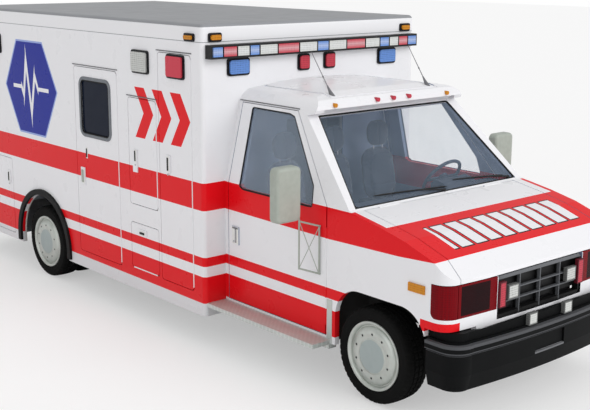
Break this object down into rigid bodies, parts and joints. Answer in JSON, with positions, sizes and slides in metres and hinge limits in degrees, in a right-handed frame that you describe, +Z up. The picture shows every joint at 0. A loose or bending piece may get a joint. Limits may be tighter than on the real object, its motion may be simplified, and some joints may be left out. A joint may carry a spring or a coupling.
{
  "type": "box ambulance on a van chassis",
  "caption": "White and red ambulance: a van cab with a square load box, opening doors and lockers, light bar, warning lamps and steered front wheels.",
  "frame": {"origin": "on the ground, halfway along and across the vehicle", "axes": "+Z up, the front faces -Y, the right-hand side is at -X"},
  "size_m": [2.725, 7.1348, 2.681],
  "materials": {
    "white_paint": "gloss white paint",
    "grey_roof": "satin grey paint",
    "black_plastic": "textured black plastic",
    "frame_black": "black chassis paint",
    "cast": "rough cast",
    "aluminium": "satin aluminium",
    "chrome": "polished",
    "tyre": "black rubber",
    "rubber": "black rubber",
    "glass": "pale blue tinted glass",
    "dark_glass": "dark tinted glass",
    "red_lens": "dark red lens",
    "mixed_lens": "clear, red, blue and amber lenses",
    "seat_cloth": "slate grey cloth",
    "dash": "dark grey moulding",
    "mirror_shell": "grey satin shell",
    "cabinet": "pale laminate",
    "floor": "grey floor covering"
  },
  "bodies": {
    "body": {"arch_flares": "rubber", "bar_lenses": "mixed_lens", "box_floor": "floor", "box_front_wall": "white_paint", "box_rear_wall": "white_paint", "box_roof": "grey_roof", "box_wall_left": "white_paint", "box_wall_right": "white_paint", "cab_body": "white_paint", "cab_floor": "floor", "cab_roof": "white_paint", "cab_seats": "seat_cloth", "cab_trim": "black_plastic", "cabinets": "cabinet", "dashboard": "dash", "engine": "cast", "frame_rails": "frame_black", "front_axle": "frame_black", "front_bumper": "black_plastic", "front_clip": "white_paint", "grille": "black_plastic", "headlamps": "red_lens", "lamps": "mixed_lens", "light_bar": "black_plastic", "locker_liners": "aluminium", "rear_axle": "frame_black", "steps": "aluminium", "underbody": "frame_black", "windshield": "glass"},
    "steering_wheel": {"steering_wheel": "dash"},
    "hood": {"hood": "white_paint"},
    "entry_door": {"entry_door": "white_paint", "entry_glass": "dark_glass"},
    "locker_upper": {"locker_upper": "white_paint"},
    "locker_lower": {"locker_lower": "white_paint"},
    "knuckle_right": {"knuckle_right": "cast"},
    "front_wheel_right": {"front_tyre_right": "tyre", "front_rim_right": "aluminium"},
    "rear_wheels_right": {"rear_tyres_right": "tyre", "rear_rims_right": "aluminium"},
    "cab_door_right": {"cab_door_right": "white_paint", "cab_glass_right": "glass", "mirror_right": "mirror_shell"},
    "rear_door_right": {"rear_door_right": "white_paint", "rear_glass_right": "dark_glass"},
    "knuckle_left": {"knuckle_left": "cast"},
    "front_wheel_left": {"front_tyre_left": "tyre", "front_rim_left": "aluminium"},
    "rear_wheels_left": {"rear_tyres_left": "tyre", "rear_rims_left": "aluminium"},
    "cab_door_left": {"cab_door_left": "white_paint", "cab_glass_left": "glass", "mirror_left": "mirror_shell"},
    "rear_door_left": {"rear_door_left": "white_paint", "rear_glass_left": "dark_glass"},
    "locker_front": {"locker_front": "white_paint"},
    "locker_front_left": {"locker_front_left": "white_paint"},
    "locker_rear": {"locker_rear": "white_paint"},
    "locker_rear_left": {"locker_rear_left": "white_paint"}
  },
  "joints": [
    {"name": "steer_right", "type": "hinge", "parent": "body", "child": "knuckle_right", "pos_m": [-0.79, -2.7175, 0.365], "axis": [0, 0, 1], "range_deg": [-30, 30]},
    {"name": "spin_front_right", "type": "hinge", "parent": "knuckle_right", "child": "front_wheel_right", "pos_m": [-0.878, -2.7175, 0.365], "axis": [1, 0, 0], "continuous": true},
    {"name": "spin_rear_right", "type": "hinge", "parent": "body", "child": "rear_wheels_right", "pos_m": [-1.089, 1.7595, 0.365], "axis": [1, 0, 0], "continuous": true},
    {"name": "cab_door_right_hinge", "type": "hinge", "parent": "body", "child": "cab_door_right", "pos_m": [-1, -2.2265, 0.86], "axis": [0, 0, 1], "range_deg": [0, 68]},
    {"name": "rear_door_right_hinge", "type": "hinge", "parent": "body", "child": "rear_door_right", "pos_m": [-0.616, 3.3175, 1.3], "axis": [0, 0, 1], "range_deg": [0, 110]},
    {"name": "steer_left", "type": "hinge", "parent": "body", "child": "knuckle_left", "pos_m": [0.79, -2.7175, 0.365], "axis": [0, 0, 1], "range_deg": [-30, 30]},
    {"name": "spin_front_left", "type": "hinge", "parent": "knuckle_left", "child": "front_wheel_left", "pos_m": [0.878, -2.7175, 0.365], "axis": [1, 0, 0], "continuous": true},
    {"name": "spin_rear_left", "type": "hinge", "parent": "body", "child": "rear_wheels_left", "pos_m": [1.089, 1.7595, 0.365], "axis": [1, 0, 0], "continuous": true},
    {"name": "cab_door_left_hinge", "type": "hinge", "parent": "body", "child": "cab_door_left", "pos_m": [1, -2.2265, 0.86], "axis": [0, 0, -1], "range_deg": [0, 68]},
    {"name": "rear_door_left_hinge", "type": "hinge", "parent": "body", "child": "rear_door_left", "pos_m": [0.616, 3.3175, 1.3], "axis": [0, 0, -1], "range_deg": [0, 110]},
    {"name": "steering_wheel_turn", "type": "hinge", "parent": "body", "child": "steering_wheel", "pos_m": [0.45, -2.0775, 1.404], "axis": [0, 0.809, 0.5878], "range_deg": [-450, 450]},
    {"name": "hood_hinge", "type": "hinge", "parent": "body", "child": "hood", "pos_m": [0, -2.4835, 1.39596], "axis": [-1, 0, 0], "range_deg": [0, 50]},
    {"name": "locker_front_hinge", "type": "hinge", "parent": "body", "child": "locker_front", "pos_m": [-1.219, -0.8315, 1.4415], "axis": [0, 0, 1], "range_deg": [0, 95]},
    {"name": "locker_front_left_hinge", "type": "hinge", "parent": "body", "child": "locker_front_left", "pos_m": [1.219, -0.8315, 1.4415], "axis": [0, 0, -1], "range_deg": [0, 95]},
    {"name": "locker_upper_hinge", "type": "hinge", "parent": "body", "child": "locker_upper", "pos_m": [-1.219, -0.3175, 1.53], "axis": [0, 0, 1], "range_deg": [0, 95]},
    {"name": "locker_lower_hinge", "type": "hinge", "parent": "body", "child": "locker_lower", "pos_m": [-1.219, -0.1005, 0.468], "axis": [0, -1, 0], "range_deg": [0, 90]},
    {"name": "entry_door_hinge", "type": "hinge", "parent": "body", "child": "entry_door", "pos_m": [-1.219, 0.2965, 1.32], "axis": [0, 0, 1], "range_deg": [0, 95]},
    {"name": "locker_rear_hinge", "type": "hinge", "parent": "body", "child": "locker_rear", "pos_m": [-1.219, 3.2515, 0.7345], "axis": [0, 0, -1], "range_deg": [0, 95]},
    {"name": "locker_rear_left_hinge", "type": "hinge", "parent": "body", "child": "locker_rear_left", "pos_m": [1.219, 3.2515, 0.7345], "axis": [0, 0, 1], "range_deg": [0, 95]}
  ],
  "couplings": [
    {"joint": "steer_left", "follows": "steer_right", "ratio": 1},
    {"joint": "steering_wheel_turn", "follows": "steer_right", "ratio": 15}
  ]
}
